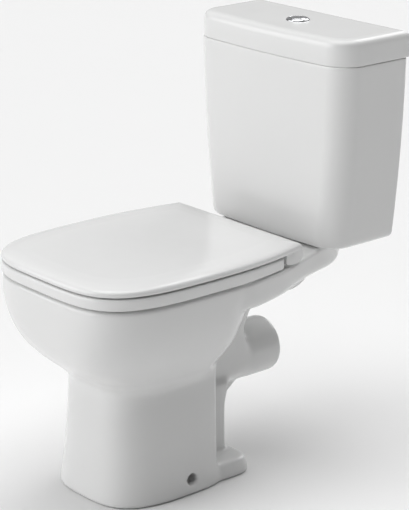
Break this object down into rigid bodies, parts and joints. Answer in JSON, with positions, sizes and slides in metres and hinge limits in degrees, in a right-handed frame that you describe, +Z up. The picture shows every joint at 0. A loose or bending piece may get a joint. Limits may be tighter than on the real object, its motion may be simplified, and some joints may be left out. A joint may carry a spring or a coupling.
{
  "type": "close coupled toilet",
  "caption": "Close coupled toilet: washdown pan with a horizontal outlet, cistern with push-button flush, hinged seat ring and lid.",
  "frame": {"origin": "on the floor, under the middle of the overall box", "axes": "+Z up from the floor, -Y towards the front of the seat, +Y towards the wall behind the cistern, +X towards the right side when the seat is looked at from the front with the cistern behind"},
  "size_m": [0.385, 0.656, 0.769],
  "materials": {
    "china": "glossy white glaze",
    "seat_plastic": "glossy white",
    "buffer_plastic": "satin",
    "chrome": "polished",
    "brass": "satin",
    "black_rubber": "matte",
    "foam_rubber": "porous, matte",
    "white_fitting_plastic": "satin",
    "blue_fitting_plastic": "satin",
    "grey_fitting_plastic": "satin"
  },
  "bodies": {
    "pan_and_cistern": {"pan_bowl": "china", "pan_sump": "china", "pan_pedestal": "china", "pan_outlet": "china", "pan_deck": "china", "tank": "china", "hinge_posts": "chrome", "hinge_pins": "chrome", "hinge_studs": "brass", "hinge_washers": "black_rubber", "hinge_wing_nuts": "white_fitting_plastic", "coupling_washer": "foam_rubber", "coupling_bolts": "brass", "coupling_cone_seals": "black_rubber", "coupling_plate_washers": "brass", "coupling_wing_nuts": "brass", "flush_valve_base": "white_fitting_plastic", "flush_valve_seal": "black_rubber", "flush_valve_back_nut": "white_fitting_plastic", "flush_cage": "blue_fitting_plastic", "rocker_brackets": "blue_fitting_plastic", "rocker_pins": "chrome", "fill_valve_body": "white_fitting_plastic", "fill_valve_seal": "black_rubber", "fill_valve_back_nut": "white_fitting_plastic", "fill_valve_cap": "blue_fitting_plastic", "float_arm_pin": "chrome", "outlet_down_tube": "grey_fitting_plastic", "inlet_filter": "grey_fitting_plastic"},
    "ring_body": {"seat_ring": "seat_plastic", "ring_buffers": "buffer_plastic"},
    "lid_body": {"seat_lid": "seat_plastic", "lid_buffers": "buffer_plastic"},
    "tank_lid_body": {"tank_lid": "china", "button_bezel": "chrome", "bezel_nut": "white_fitting_plastic"},
    "full_button_body": {"full_flush_button": "chrome", "full_push_rod": "white_fitting_plastic"},
    "half_button_body": {"half_flush_button": "chrome", "half_push_rod": "white_fitting_plastic"},
    "full_rocker_body": {"full_flush_rocker": "white_fitting_plastic"},
    "half_rocker_body": {"half_flush_rocker": "white_fitting_plastic"},
    "flush_lift_body": {"overflow_tube": "white_fitting_plastic", "flush_seat_washer": "black_rubber", "lift_link": "blue_fitting_plastic"},
    "half_stop_body": {"half_flush_stop": "blue_fitting_plastic"},
    "float_body": {"float_cup": "blue_fitting_plastic", "float_link": "white_fitting_plastic"},
    "float_arm_body": {"float_arm": "white_fitting_plastic"}
  },
  "joints": [
    {"name": "seat_hinge", "type": "hinge", "parent": "pan_and_cistern", "child": "ring_body", "pos_m": [0, 0.094, 0.403], "axis": [-1, 0, 0], "range_deg": [0, 95]},
    {"name": "lid_hinge", "type": "hinge", "parent": "ring_body", "child": "lid_body", "pos_m": [0, 0.094, 0.403], "axis": [1, 0, 0], "range_deg": [-95, 0]},
    {"name": "cistern_lid_lift", "type": "slide", "parent": "pan_and_cistern", "child": "tank_lid_body", "axis": [0, 0, 1], "range_m": [0, 0.12]},
    {"name": "full_flush_press", "type": "slide", "parent": "tank_lid_body", "child": "full_button_body", "axis": [0, 0, -1], "range_m": [0, 0.006], "stiffness_N_per_m": 250, "springref_m": -0.004},
    {"name": "half_flush_press", "type": "slide", "parent": "tank_lid_body", "child": "half_button_body", "axis": [0, 0, -1], "range_m": [0, 0.006], "stiffness_N_per_m": 250, "springref_m": -0.004},
    {"name": "full_rocker_pivot", "type": "hinge", "parent": "pan_and_cistern", "child": "full_rocker_body", "pos_m": [0, 0.223, 0.668], "axis": [-1, 0, 0], "range_deg": [0, 34.43]},
    {"name": "half_rocker_pivot", "type": "hinge", "parent": "pan_and_cistern", "child": "half_rocker_body", "pos_m": [0, 0.259, 0.668], "axis": [1, 0, 0], "range_deg": [0, 34.43]},
    {"name": "flush_seal_lift", "type": "slide", "parent": "pan_and_cistern", "child": "flush_lift_body", "axis": [0, 0, 1], "range_m": [0, 0.0121]},
    {"name": "half_flush_stop_lift", "type": "slide", "parent": "pan_and_cistern", "child": "half_stop_body", "axis": [0, 0, 1], "range_m": [0, 0.0121]},
    {"name": "float_rise", "type": "slide", "parent": "pan_and_cistern", "child": "float_body", "axis": [0, 0, 1], "range_m": [0, 0.02]},
    {"name": "float_arm_pivot", "type": "hinge", "parent": "pan_and_cistern", "child": "float_arm_body", "pos_m": [-0.116, 0.245, 0.626], "axis": [0, -1, 0], "range_deg": [0, 34.43]}
  ],
  "couplings": [
    {"joint": "full_rocker_pivot", "follows": "full_flush_press", "rad_per_m": 100},
    {"joint": "flush_seal_lift", "follows": "full_flush_press", "ratio": 2},
    {"joint": "half_rocker_pivot", "follows": "half_flush_press", "rad_per_m": 100},
    {"joint": "half_flush_stop_lift", "follows": "half_flush_press", "ratio": 2},
    {"joint": "float_arm_pivot", "follows": "float_rise", "rad_per_m": 30}
  ]
}
